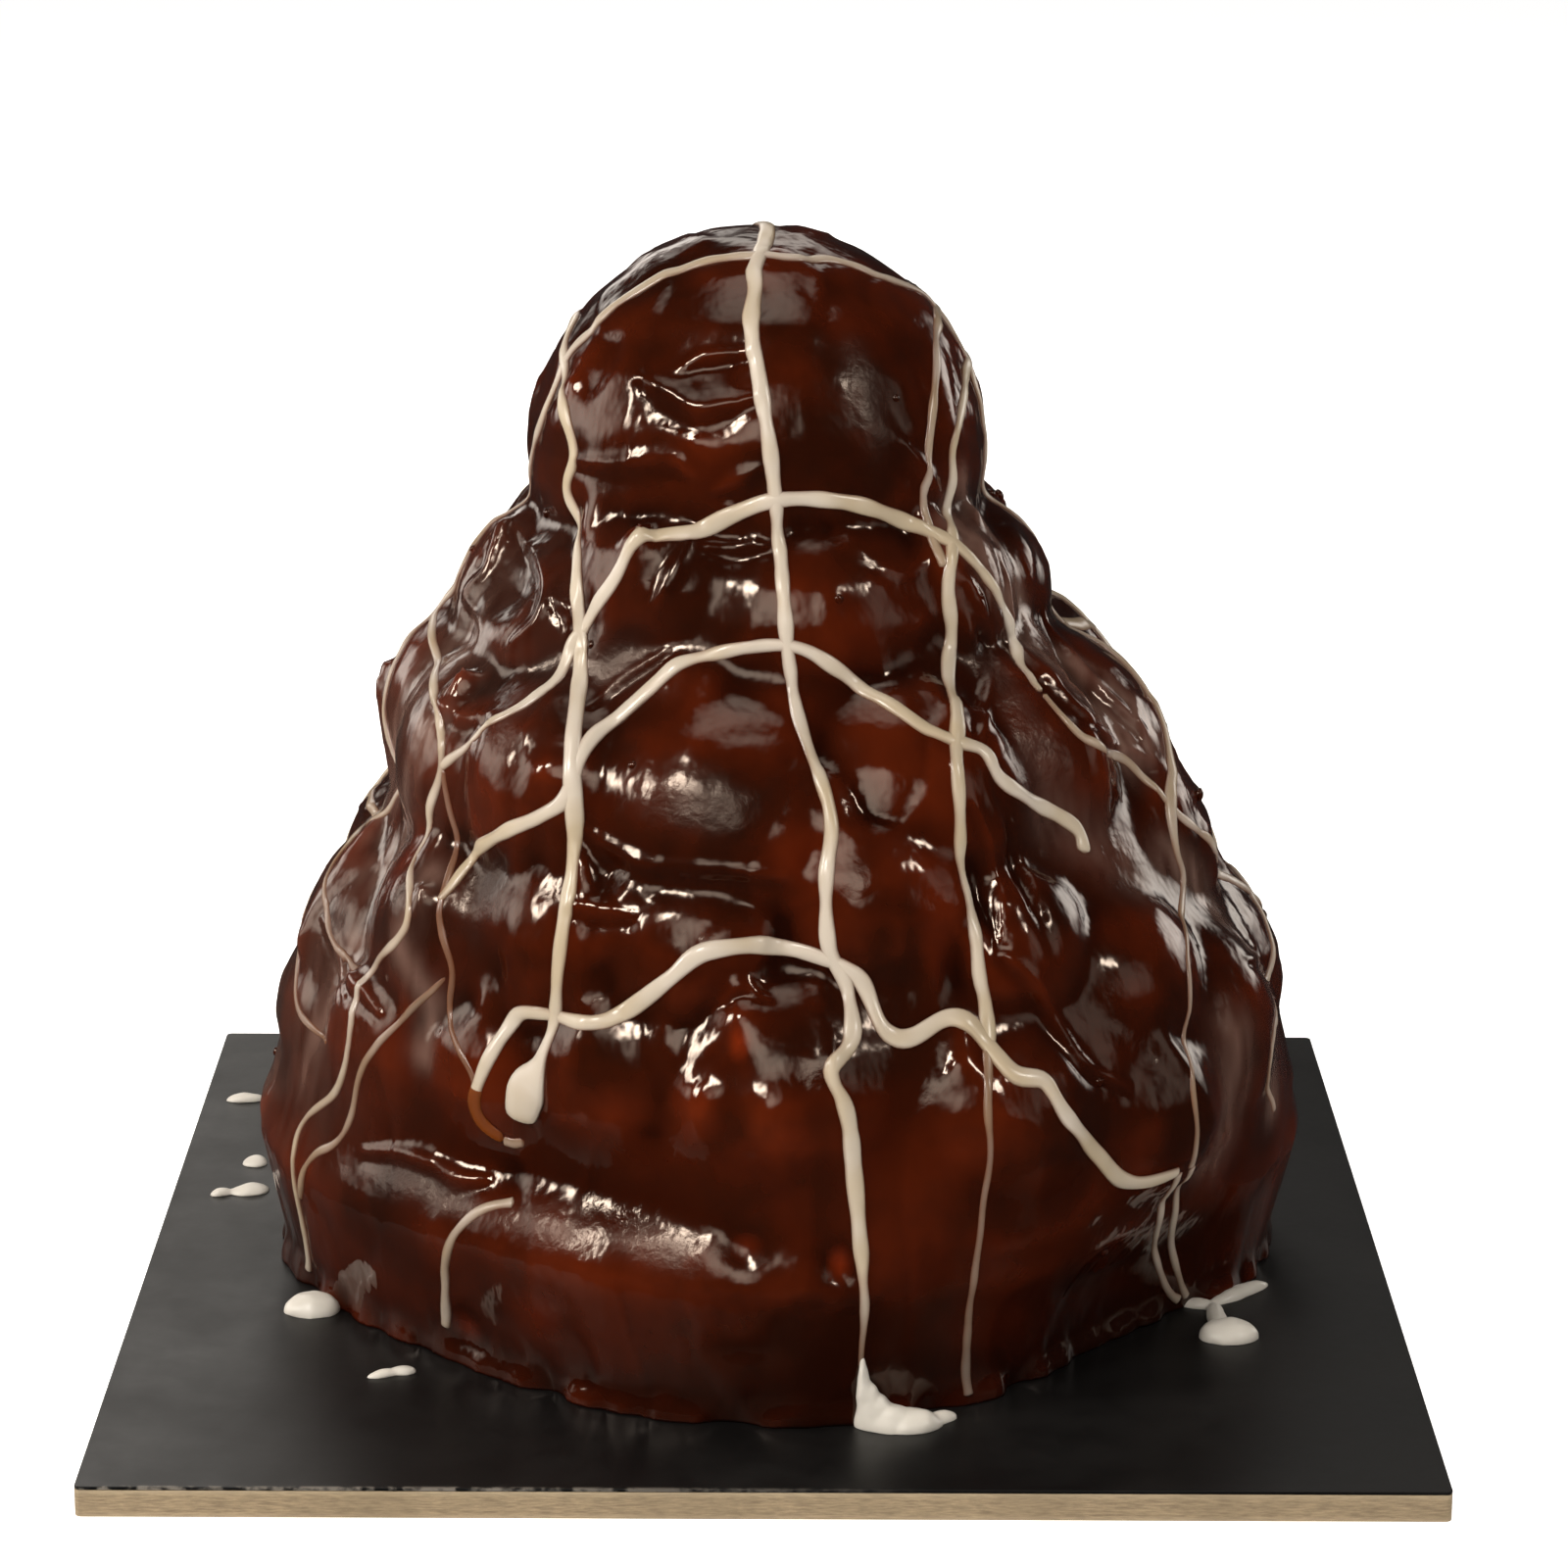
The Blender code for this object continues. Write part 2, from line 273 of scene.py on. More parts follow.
# Each course of puffs: the height of its centres, the puffs across its front as (azimuth in degrees,
# size against a plain one, millimetres of lift), and how many more run evenly round its back.
COURSES = (
    (62 * MM, ((-176, 1, -2), (-153, 0.9, 4), (-131, 0.85, 8), (-111, 0.75, 12), (-88, 1.05, 11),
        (-62, 0.95, 4), (-40, 0.85, -6), (-20, 0.85, 3), (2, 1.1, 12)), 6),
    (92 * MM, ((-175, 1.05, -4), (-147, 0.9, 3), (-123, 0.8, 6), (-103, 0.75, 8), (-75, 0.85, 14),
        (-57, 0.7, 4), (-38, 0.95, -3), (-8, 1, 12)), 6),
    (123 * MM, ((-178, 0.9, 5), (-154, 0.9, 1), (-129, 0.85, 0), (-98, 1.1, 2), (-62, 0.9, 3),
        (-35, 0.9, 8), (-6, 0.85, 0)), 5),
    (154 * MM, ((-174, 0.8, -1), (-146, 0.75, -3), (-116, 0.75, 7), (-74, 1, 3), (-36, 0.8, 4),
        (0, 0.8, 1)), 4),
)


def skin(height):
    """The heap's radius over the puffs at that height."""
    for (low, wide), (high, narrow) in zip(OUTLINE, OUTLINE[1:]):
        if height <= high:
            break
    return wide + (narrow - wide) * (height - low) / (high - low)


def rise(value, none_at, full_at):
    """How far a value has come, from 0 at none_at to 1 at full_at."""
    return min(max((value - none_at) / (full_at - none_at), 0), 1)


def dip(height):
    """How far the skin lies inside the puffs' outline, between the puffs, at that height."""
    return DIP * rise(height, NO_DIP_AT, FULL_DIP_AT)


def set_back(azimuth, height):
    """How far the heap stands back from its outline there."""
    from_middle = (azimuth - SET_BACK_AT + 180) % 360 - 180
    share = rise(height, SET_BACK_FROM, FULL_SET_BACK_AT)
    return SET_BACK * share * math.exp(-((from_middle / SET_BACK_SPREAD) ** 2))


def shift(height):
    """How far the heap's middle lies to the right of the board's middle at that height."""
    return LOW_SHIFT + (HIGH_SHIFT - LOW_SHIFT) * rise(height, LEAN_FROM, LEAN_TO)


def sponge_wobble(turn):
    """How far the sponge's side stands out of a true circle: four blunt corners, one side pushed in."""
    from_dent = (math.degrees(turn) - SPONGE_DENT_AT + 180) % 360 - 180
    dent = SPONGE_DENT * math.exp(-((from_dent / SPONGE_DENT_SPREAD) ** 2))
    return 2 * MM * math.cos(2 * turn) + 4 * MM * math.cos(4 * turn) - dent


def turned(outline):
    """A list of tapering discs, one for each step of a round body's outline."""
    discs = []
    for (low_radius, low), (high_radius, high) in zip(outline, outline[1:]):
        only()
        halfway = (0, 0, (low + high) / 2)
        bpy.ops.mesh.primitive_cone_add(
            vertices=128, radius1=low_radius, radius2=high_radius, depth=high - low, location=halfway
        )
        discs.append(bpy.context.object)
    return discs


only()
bpy.ops.mesh.primitive_uv_sphere_add(segments=24, ring_count=12, radius=1)
plain_ball = bpy.context.object


def ball(centre, size, rotation=(0, 0, 0), plain=plain_ball):
    """A copy of a plain ball, with its own mesh and the given half sizes."""
    made = plain.copy()
    made.data = plain.data.copy()
    made.location, made.scale, made.rotation_euler = centre, size, rotation
    bpy.context.scene.collection.objects.link(made)
    return made


def joined(name, bodies):
    """The bodies as one object, its origin at the frame's own."""
    only(*bodies)
    bpy.ops.object.join()
    made = bpy.context.object
    bpy.ops.object.transform_apply(location=True, rotation=True, scale=True)
    made.name = name
    return made


# The sponge, and the middle of the heap.
sponge = [(SPONGE_FOOT_RADIUS, FOOT - 5 * MM), (SPONGE_FOOT_RADIUS, FOOT)]
for i in range(7):
    turn = math.radians(15 * i)
    ring = SPONGE_RADIUS - SPONGE_ROUNDING * (1 - math.cos(turn))
    sponge.append((ring, SPONGE_TOP - SPONGE_ROUNDING * (1 - math.sin(turn))))
base = joined("sponge", turned(sponge))
for vert in base.data.vertices:
    turn = math.atan2(vert.co.y, vert.co.x)
    if math.hypot(vert.co.x, vert.co.y) > MM:
        vert.co += sponge_wobble(turn) * Vector((math.cos(turn), math.sin(turn), 0))
outline = [(radius - dip(height), height) for height, radius in OUTLINE]
outline.append((CROWN_RADIUS - DIP, heap_high.z - CROWN_RADIUS + DIP))
middle = joined("middle", turned(outline))
for vert in middle.data.vertices:
    turn = math.atan2(vert.co.y, vert.co.x)
    if math.hypot(vert.co.x, vert.co.y) > MM:
        out = sponge_wobble(turn) * rise(vert.co.z, WOBBLE_FROM, FULL_WOBBLE_AT)
        out -= set_back(math.degrees(turn), vert.co.z)
        vert.co += out * Vector((math.cos(turn), math.sin(turn), 0))

# The puffs.
bodies = [base, middle]
between = random.Random(11).uniform
puffs = []
for height, front, behind in COURSES:
    for azimuth, size, lift in front:
        puffs.append((azimuth, height + lift * MM, size))
    first, last = front[0][0] + 360, front[-1][0]
    step = (first - last) / (behind + 1)
    for i in range(behind):
        azimuth = last + step * (i + 1) + between(-3, 3)
        puffs.append((azimuth, height + between(-4, 4) * MM, between(0.9, 1.05)))
between = random.Random(3).uniform
for azimuth, height, size in puffs:
    radius = PUFF_RADIUS * size
    slope = math.atan2(skin(height - 10 * MM) - skin(height + 10 * MM), 20 * MM)
    distance = skin(height) - set_back(azimuth, height) - radius * math.cos(slope)
    turn = math.radians(azimuth)
    centre = (distance * math.cos(turn), distance * math.sin(turn), height - radius * math.sin(slope))
    bodies.append(ball(centre, (radius, radius, radius * between(0.8, 1.05))))
bodies.append(ball((0, 0, heap_high.z - CROWN_RADIUS), (CROWN_RADIUS, CROWN_RADIUS, CROWN_RADIUS)))
stack = joined("stack", bodies)
for vert in stack.data.vertices:
    vert.co.x += shift(vert.co.z)


def skin_of(piece):
    """The surface of a piece, to be asked where a point of it lies."""
    places = [vert.co.copy() for vert in piece.data.vertices]
    return BVHTree.FromPolygons(places, [face.vertices[:] for face in piece.data.polygons])


# Where the glaze lies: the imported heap's own surface says it, to rays that start well outside it.
packed_skin = skin_of(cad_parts["glazed_heap"])
OUTSIDE = 300 * MM


def on_skin(tree, azimuth, height):
    """The point of a skin at that azimuth in degrees and height, and the way it faces."""
    turn = math.radians(azimuth)
    out = Vector((math.cos(turn), math.sin(turn), 0))
    return tree.ray_cast(Vector((0, 0, height)) + out * OUTSIDE, -out)[:2]


def tongue(azimuth, height, width, length, proud, tilt=0):
    """A tongue of glaze that lies down the slope there and stands proud of it."""
    point, out = on_skin(packed_skin, azimuth, height)
    down = (Vector((0, 0, -1)) + out * out.z).normalized()
    across = out.cross(down)
    down = (down * math.cos(tilt) + across * math.sin(tilt)).normalized()
    across = out.cross(down)
    thick = max(proud * 2, 2.4 * MM)
    way = Matrix((across, out, down)).transposed().to_euler()
    return ball(point - out * (thick - proud), (width / 2, thick, length / 2), way)


# Where the glaze has run smooth, without tongues, lips or waves, as (azimuth, height, half width, half
# height), in millimetres but for the angle.
CALM_SPOTS = (
    (-38, 83, 21, 17), (-72, 190, 24, 15), (-92, 60, 34, 10), (-98, 122, 14, 11), (-74, 102, 12, 10),
    (-90, 157, 15, 8), (-122, 92, 10, 10), (-147, 150, 14, 15), (-158, 116, 14, 15), (-152, 103, 10, 11),
    (-36, 101, 10, 12), (-38, 15, 12, 10), (-28, 86, 12, 14), (-93, 84, 9, 9), (-118, 138, 8, 8),
    (-50, 90, 10, 16), (-176, 130, 12, 16), (-110, 178, 20, 10), (60, 80, 20, 16), (130, 130, 16, 12),
)


def at_spot(point, azimuth, height, half_width, half_height):
    """How near a point of the skin is to the middle of a spot on it, from 0 to 1."""
    turn = math.atan2(point.y, point.x) - math.radians(azimuth)
    across = math.remainder(turn, math.tau) * math.hypot(point.x, point.y) / (half_width * MM)
    up = (point.z - height * MM) / (half_height * MM)
    return math.exp(-(across**2) - up**2) if abs(across) + abs(up) < 4 else 0


def unrest(point):
    """How much the skin may wave and wrinkle at that point, from 0 to 1."""
    return 1 - 0.8 * min(sum(at_spot(point, *spot) for spot in CALM_SPOTS), 1)


# Where the unrest is no more than STILL, tongues, droplets and short lips are left out.
STILL = 0.6
TONGUES = 104
WRINKLES = 34
STANDING_DROPLETS = 46
FOOT_LOBES = 64
chance = random.Random(21)
between = chance.uniform
bodies = [stack]
# Tongues of glaze run down between and over the puffs.
for _ in range(TONGUES):
    azimuth, height = between(-180, 180), chance.triangular(58, 186, 128) * MM
    width, length = between(5, 9) * MM, between(14, 34) * MM
    proud, tilt = between(0.7, 1.5) * MM, between(-0.35, 0.35)
    if unrest(on_skin(packed_skin, azimuth, height)[0]) > STILL:
        bodies.append(tongue(azimuth, height, width, length, proud, tilt))
# Wrinkles lie along the sponge's upper edge, where the glaze set as it slid.
for _ in range(WRINKLES):
    azimuth, height = between(-180, 180), between(36, 50) * MM
    width, length = between(14, 34) * MM, between(3.5, 6) * MM
    proud, tilt = between(0.6, 1.2) * MM, between(-0.15, 0.15)
    bodies.append(tongue(azimuth, height, width, length, proud, tilt))
# Droplets stand on the skin.
for _ in range(STANDING_DROPLETS):
    azimuth, height = between(-180, 180), between(50, 195) * MM
    size = between(2.2, 4) * MM
    if unrest(on_skin(packed_skin, azimuth, height)[0]) > STILL:
        bodies.append(tongue(azimuth, height, size, size * 1.2, size * 0.42))
# The foot has crept out in small lobes on the board.
for i in range(FOOT_LOBES):
    azimuth = i * 360 / FOOT_LOBES + between(-3, 3)
    point, _ = on_skin(packed_skin, azimuth, FOOT + 1.5 * MM)
    lobe = (between(3, 6.5) * MM, between(1.6, 2.8) * MM, between(2.5, 5) * MM)
    bodies.append(ball((point.x, point.y, FOOT), lobe, (0, 0, math.radians(azimuth + 90))))
heap = joined("chocolate_glaze_coat", bodies)


def run_together(obj, cell, smoothings):
    """Makes the bodies of an object one skin, and lets it flow even."""
    coat = obj.modifiers.new("coat", "REMESH")
    coat.mode = "VOXEL"
    coat.voxel_size = cell
    flow = obj.modifiers.new("flow", "SMOOTH")
    flow.factor = 0.5
    flow.iterations = smoothings
    apply_all(obj)


run_together(heap, COAT_CELL, 7)


def on_ledge(face):
    """Whether a face lies in the crease between the sponge's ledge and the puffs over it."""
    azimuth = math.degrees(math.atan2(face.center.y, face.center.x))
    return -168 < azimuth < -72 and 36 * MM < face.center.z < 60 * MM


# The glaze has filled the crease over the sponge's ledge.
reshape(heap, "FACE", on_ledge, bpy.ops.mesh.vertices_smooth, factor=0.5, repeat=30)


def bumps(point, scale, stretch=1.0):
    """Smooth noise from -1 to 1 with bumps of that size, drawn out in height by stretch."""
    return noise.noise(Vector((point.x / scale, point.y / scale, point.z / scale / stretch)))


# Where one sheet of glaze stopped on another it drew up in a rounded lip, with a groove under it. Each
# lip is the places it passes as (azimuth in degrees, height in millimetres), the front being at azimuth
# -90. A third number is the width in millimetres, which changes evenly to the next one given.
LIPS = (
    ((-141, 175, 2), (-128, 176, 3.4), (-119, 178), (-113, 178, 3.4), (-109, 176, 2)),
    ((-102, 173, 2), (-97, 175, 3.7), (-92, 177, 2)),
    ((-126, 192, 2), (-117, 190, 3.9), (-109, 188), (-102, 189, 4.2), (-94, 190, 2)),
    ((-115, 195, 2), (-110, 197, 2.7), (-98, 198, 2)),
    ((-52, 179, 2), (-48, 175, 3.4), (-40, 168, 2)),
    ((-116, 113, 2.2), (-113, 111, 3.7), (-110, 110), (-106, 109), (-101, 109, 3.7), (-95, 109),
        (-88, 108, 2)),
    ((-151, 129, 2), (-144, 128, 3.9), (-138, 130, 2)),
    ((-165, 159, 1.8), (-158, 158), (-149, 157, 3), (-140, 153), (-138, 147, 3.2), (-142, 142, 2)),
    ((-168, 157, 1.6), (-164, 151, 2.4), (-166, 145, 2), (-156, 142, 1.6)),
    ((-136, 151, 1.7), (-132, 149, 2.9), (-131, 146, 1.7)),
    ((-103, 163, 2), (-97, 163, 2.9), (-91, 163, 2)),
    ((-108, 163, 2), (-110, 157, 3.4), (-112, 153, 2)),
    ((-121, 134, 1.5), (-118, 138, 2), (-110, 144, 1.4)),
    ((-116, 100, 2), (-113, 100, 3.2), (-108, 100, 2)),
    ((-44, 153, 2), (-42, 148, 3.4), (-39, 142, 2)),
    ((-46, 136, 2), (-51, 132, 3.2), (-55, 129, 2)),
    ((-60, 118, 1.6), (-58, 109, 2.2), (-58, 103), (-60, 95, 1.6)),
    ((-53, 113, 1.6), (-52, 105, 2), (-54, 99, 1.6)),
    ((-60, 92, 1.6), (-57, 87, 2.8), (-55, 82), (-54, 78, 3), (-52, 71), (-47, 65, 2)),
    ((-147, 43, 2), (-141, 45, 3.2), (-135, 45), (-131, 44, 3.4), (-127, 45, 2)),
    ((-95, 87, 2), (-93, 89, 3.7), (-90, 87, 2)),
    ((-28, 156, 2.4), (-33, 138, 3.9), (-30, 127), (-16, 114, 2.4)),
    ((-11, 140, 2), (-17, 130, 3.4), (-15, 120, 2)),
)
ROUTE_STEP = 0.9 * MM


def laid_out(tree, passes):
    """The places of a route on a skin, each with the width there as a fourth number."""
    given = [i for i, place in enumerate(passes) if len(place) == 3]
    widths = [passes[0][2]]
    for start, end in zip(given, given[1:]):
        for i in range(start + 1, end + 1):
            share = (i - start) / (end - start)
            widths.append(passes[start][2] * (1 - share) + passes[end][2] * share)
    laid = []
    for place, width in zip(passes, widths):
        point = on_skin(tree, place[0], place[1] * MM)[0]
        laid.append(Vector((*point, width * MM)))
    return laid


def smooth_route(points):
    """Points every ROUTE_STEP on a smooth curve through the given ones."""
    ends = [points[0] * 2 - points[1], *points, points[-1] * 2 - points[-2]]
    route = []
    for before, start, end, after in zip(ends, ends[1:], ends[2:], ends[3:]):
        steps = max(int((end - start).length / ROUTE_STEP), 1)
        for i in range(steps):
            t = i / steps
            bend = (2 * before - 5 * start + 4 * end - after) * t * t
            swing = (3 * start - before - 3 * end + after) * t**3
            route.append(0.5 * (2 * start + (end - before) * t + bend + swing))
    return route + [points[-1]]


def laid_tree(routes):
    """The points of some routes with their way and width, and a tree that finds the nearest of them."""
    points = []
    for route in routes:
        last = len(route) - 1
        for i, place in enumerate(route):
            along = (route[min(i + 1, last)] - route[max(i - 1, 0)]).to_3d().normalized()
            points.append((place.to_3d(), along, place.w))
    tree = KDTree(len(points))
    for i, point in enumerate(points):
        tree.insert(point[0], i)
    tree.balance()
    return tree, points


lips = [smooth_route(laid_out(packed_skin, passes)) for passes in LIPS]
# Shorter lips lie at the sides and behind.
SHORT_LIPS = 44
between = random.Random(17).uniform
for _ in range(SHORT_LIPS):
    azimuth, height = between(-180, 180), between(66, 182)
    turn_by, drop_by = between(3, 7), between(-4, 4)
    passes = []
    for i in range(4):
        passes.append((azimuth, height, (1.4, 2.6, 2.6, 1.4)[i]))
        azimuth += turn_by + between(-2, 2)
        height += drop_by + between(-2.5, 2.5)
    calm = unrest(on_skin(packed_skin, passes[1][0], passes[1][1] * MM)[0]) < STILL
    if calm or -142 < passes[2][0] < -40:
        continue
    lips.append(smooth_route(laid_out(packed_skin, passes)))
near_lip, lip_points = laid_tree(lips)
LIP_REACH = 8 * MM
LIP_FINE = 3.4 * MM
# A lip's rib and the groove below it, and how broad each is, against the lip's width.
RIB, RIB_BREADTH = 0.24, 0.5
GROOVE, GROOVE_BREADTH, GROOVE_AT = 0.16, 0.6, 0.95
LIP_END = 0.7


def lip_rise(point, out):
    """How far the nearest lip lifts the skin at that point, in millimetres."""
    place, number, gap = near_lip.find(point)
    if gap > LIP_REACH:
        return 0
    along, width = lip_points[number][1:]
    away = point - place
    away -= out * away.dot(out)
    past = away.dot(along) / width
    below = away.dot(along.cross(out).normalized()) / width
    rib = RIB * math.exp(-((below / RIB_BREADTH) ** 2))
    rib -= GROOVE * math.exp(-(((below - GROOVE_AT) / GROOVE_BREADTH) ** 2))
    return rib * width / MM * math.exp(-((past / LIP_END) ** 2))


def by_lip(face):
    """Whether a face lies along a lip."""
    return near_lip.find(face.center)[2] < LIP_FINE


def on_board(face):
    """Whether a face lies on the board."""
    return face.center.z < facing_high.z + 0.001 * MM


# Along the lips the skin's faces are halved.
reshape(heap, "FACE", by_lip, bpy.ops.mesh.subdivide, number_cuts=1)

# Hollows in the skin, given as the calm spots are, with a depth in millimetres: a dimple in the crown's
# front, a deep gap between two puffs, and small pits lower down. One with a depth below 0 is a blister,
# where a bubble or a bump under it has lifted the skin.
HOLLOWS = (
    (-103, 194, 8, 4.5, 1.8), (-151, 151, 9, 6.5, 5.5), (-93, 84, 4.5, 5, -2), (-97.5, 68, 4.5, 5, -1.9),
    (-89.5, 67, 5, 7, -2.4), (-92, 42, 4, 4, 1.6), (-82, 39, 4, 4.5, 1.8), (-130, 14, 5, 4, 1.2),
    (-92, 22, 6, 2.5, 1), (-128, 86, 5, 6, 2), (-61, 101, 2.5, 10, 2), (-54, 103, 2, 9, 1.6),
    (38, 128, 5, 7, 4), (84, 86, 5, 6, -2.4), (121, 112, 6, 5, 2.4), (150, 70, 5, 6, 2),
)
# Where the glaze is drawn so thin that it glows red-brown, given likewise, with how much it does.
THIN_SPOTS = (
    (-93, 80, 1.8, 2.6, 0.5), (-92, 42, 3, 2.5, 0.25), (-82, 39, 2, 3, 0.5), (-130, 14, 4, 3, 0.3),
    (-68, 101, 5, 12, 0.2), (-92, 58, 9, 7, 0.12), (-118, 22, 8, 6, 0.15), (-70, 60, 7, 9, 0.12),
    (-150, 100, 5, 9, 0.3), (-84, 112, 8, 6, 0.22), (-70, 150, 12, 10, 0.1), (-60, 200, 10, 8, 0.1),
    (58, 70, 8, 8, 0.3), (104, 60, 7, 9, 0.3), (136, 96, 6, 7, 0.3), (90, 84, 3, 4, 0.5),
)
# Grey-brown streaks down the flanks: partly white chocolate smeared and run down thin, partly painted
# sheen where the glaze mirrors pale light, broad on the left flank. Each is given as how much, how
# wide, and the places it passes, as (azimuth, height).
SMEAR_SHEEN_RUNS = (
    (0.8, 9, ((-40, 163), (-33, 152), (-28, 140), (-24, 128), (-18, 116))),
    (0.7, 6, ((-30, 170), (-24, 155), (-20, 140), (-14, 124), (-10, 112))),
    (0.7, 8, ((-22, 98), (-16, 88), (-14, 74), (-14, 60), (-16, 46))),
    (0.45, 11, ((-27, 66), (-28, 52), (-30, 42))),
    (0.35, 12, ((-44, 112), (-36, 104), (-30, 96))),
    (0.6, 10, ((-158, 138), (-163, 124), (-168, 112), (-172, 102))),
    (0.6, 7, ((-150, 126), (-153, 114), (-158, 104), (-162, 92))),
    (0.65, 6, ((-142, 98), (-143, 86), (-138, 76), (-138, 66))),
    (0.5, 8, ((-158, 78), (-160, 66), (-163, 52))),
    (0.5, 9, ((-178, 62), (-176, 50), (-176, 34))),
    (0.2, 60, ((-165, 135), (-168, 60))),
    (0.6, 8, ((40, 150), (46, 134), (44, 118), (49, 104))),
    (0.6, 7, ((98, 128), (103, 114), (101, 98), (106, 84))),
)
# Where sugar has bloomed in a fine ripple, given as the calm spots are.
BLOOM_SPOTS = (
    (-140, 41, 8, 3.5), (-132, 41, 7, 3.5), (-115, 40, 8, 3.5), (-101, 40, 8, 3.5), (-99, 120, 9, 4.5),
    (-133, 133, 5, 7), (-132, 100, 5, 10), (-120, 141, 7, 5), (-45, 123, 7, 6), (-43, 135, 4, 8),
    (-62, 190, 4, 9), (30, 60, 9, 6), (72, 118, 8, 6), (110, 150, 8, 6), (155, 90, 7, 8),
)

# The skin sags and ripples as it sets: broad waves, small ripples, and thin sheets that end in a lip,
# each with its size and its rise in millimetres. Low down it has run smooth.
WAVE, WAVE_RISE = 11 * MM, 0.55
RIPPLE, RIPPLE_RISE = 4.5 * MM, 0.2
SHEET, SHEET_RISE = 15 * MM, 0.6
ways = [vert.normal.copy() for vert in heap.data.vertices]
for vert, way in zip(heap.data.vertices, ways):
    point = vert.co
    wave = WAVE_RISE * bumps(point, WAVE, 1.6) + RIPPLE_RISE * bumps(point, RIPPLE, 1.5)
    sheet = rise(bumps(point + Vector((0.3, 0.1, 0.7)), SHEET, 2.2), -0.02, 0.08)
    rough = (0.55 + 0.45 * rise(point.z, 60 * MM, 100 * MM)) * unrest(point)
    hollow = sum(at_spot(point, *spot[:4]) * spot[4] for spot in HOLLOWS)
    wave += SHEET_RISE * (sheet - 0.5)
    vert.co += way * (rough * wave - hollow + lip_rise(point, way)) * MM
    vert.co.z = max(vert.co.z, facing_high.z)

# The underside lies flat on the board.
reshape(heap, "FACE", on_board, bpy.ops.mesh.dissolve_limited, angle_limit=math.radians(1))
bpy.ops.object.shade_smooth()
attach(heap, "root")
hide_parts("glazed_heap")

# How far each point stands out of the skin around it, which a relaxed copy gives. The glaze's colour
# uses it as painted shade: darker in the creases, lighter on the crests.
only(heap)
bpy.ops.object.duplicate()
relaxed = bpy.context.object
ease = relaxed.modifiers.new("ease", "SMOOTH")
ease.factor = 0.5
ease.iterations = 60
apply_all(relaxed)
crest_shading = []
for vert, eased in zip(heap.data.vertices, relaxed.data.vertices):
    crest_shading.append((vert.co - eased.co).dot(vert.normal) / MM)
bpy.data.objects.remove(relaxed)
smear_sheen_trees = []
for share, width, passes in SMEAR_SHEEN_RUNS:
    given = [(azimuth, height, width) for azimuth, height in passes]
    near_smear_sheen = laid_tree([smooth_route(laid_out(packed_skin, given))])[0]
    smear_sheen_trees.append((share, width * MM / 2, near_smear_sheen))
# The smears and painted sheen are streaked downwards, a streak about every 2 mm.
thin, blooms, smear_sheen_values = [], [], []
for vert in heap.data.vertices:
    thin.append(sum(at_spot(vert.co, *spot[:4]) * spot[4] for spot in THIN_SPOTS))
    blooms.append(min(sum(at_spot(vert.co, *spot) for spot in BLOOM_SPOTS), 1))
    smear_sheen = sum(share * math.exp(-((near.find(vert.co)[2] / half) ** 2)) for share, half, near in smear_sheen_trees)
    smear_sheen_values.append(smear_sheen * (0.8 + 0.7 * bumps(vert.co, 2.2 * MM, 7)))


def mark(obj, name, values):
    """Gives each point of an object its value, for a material to read."""
    obj.data.attributes.new(name, "FLOAT", "POINT").data.foreach_set("value", values)


mark(heap, "crest_shade", crest_shading)
mark(heap, "thin", thin)
mark(heap, "bloom", blooms)
mark(heap, "smear_sheen", smear_sheen_values)

# Dark chocolate glaze: cocoa, syrup and butter, poured warm. It sets to a wet gloss. Its colour holds
# painted shade: nearly black in the creases and a warm red-brown on the crests, where it is drawn thin
# over a puff.
glaze, tree, shader, place = new_material(
    "dark_chocolate_glaze", {"IOR": 1.48, "Specular IOR Level": 0.43, "Specular Tint": (1, 0.84, 0.71, 1)}
)
crest_shade_read, thin_read, smear_sheen_read, bloom_read = (
    add_node(tree, "ShaderNodeAttribute", {"attribute_name": name}).outputs["Fac"]
    for name in ("crest_shade", "thin", "smear_sheen", "bloom")
)
# Painted shade and light: the glaze goes from near black in the creases to warm brown on the crests.
high = add_node(tree, "ShaderNodeMapRange", {"From Min": -0.7, "From Max": 1.1, "Value": crest_shade_read})
clouds = add_node(tree, "ShaderNodeTexNoise", {"Scale": 38, "Detail": 4, "Vector": place})
clouded = add_node(tree, "ShaderNodeMapRange", {"From Min": 0.38, "From Max": 0.62, "Value": clouds})
shaded_brown = add_node(
    tree, "ShaderNodeMix", {"data_type": "RGBA", 0: high, 6: linear("150401"), 7: linear("501A07")}
)
shaded_clouded = add_node(tree, "ShaderNodeMix", {"data_type": "RGBA", 0: clouded, 6: shaded_brown, 7: linear("200802")})
# Thin places glow as light comes back through the syrup.
thin_share = add_node(tree, "ShaderNodeMapRange", {"From Min": 0.05, "Value": thin_read})
glowing = add_node(tree, "ShaderNodeMix", {"data_type": "RGBA", 0: thin_share, 6: shaded_clouded, 7: linear("7C280B")})
# Painted sheen: along the streaks the glaze is mixed towards pale grey-brown, partly smeared white
# chocolate.
smear_sheen_mix = add_node(
    tree, "ShaderNodeMix", {"data_type": "RGBA", 0: smear_sheen_read, 6: glowing, 7: linear("6B5248")}
)
film = add_node(
    tree,
    "ShaderNodeMapRange",
    {"From Min": 0.3, "From Max": 0.75, "To Min": 0.06, "To Max": 0.17, "Value": clouds},
)
dulled = add_node(tree, "ShaderNodeMath", {"operation": "MULTIPLY_ADD", 0: bloom_read, 1: 0.3, 2: film})
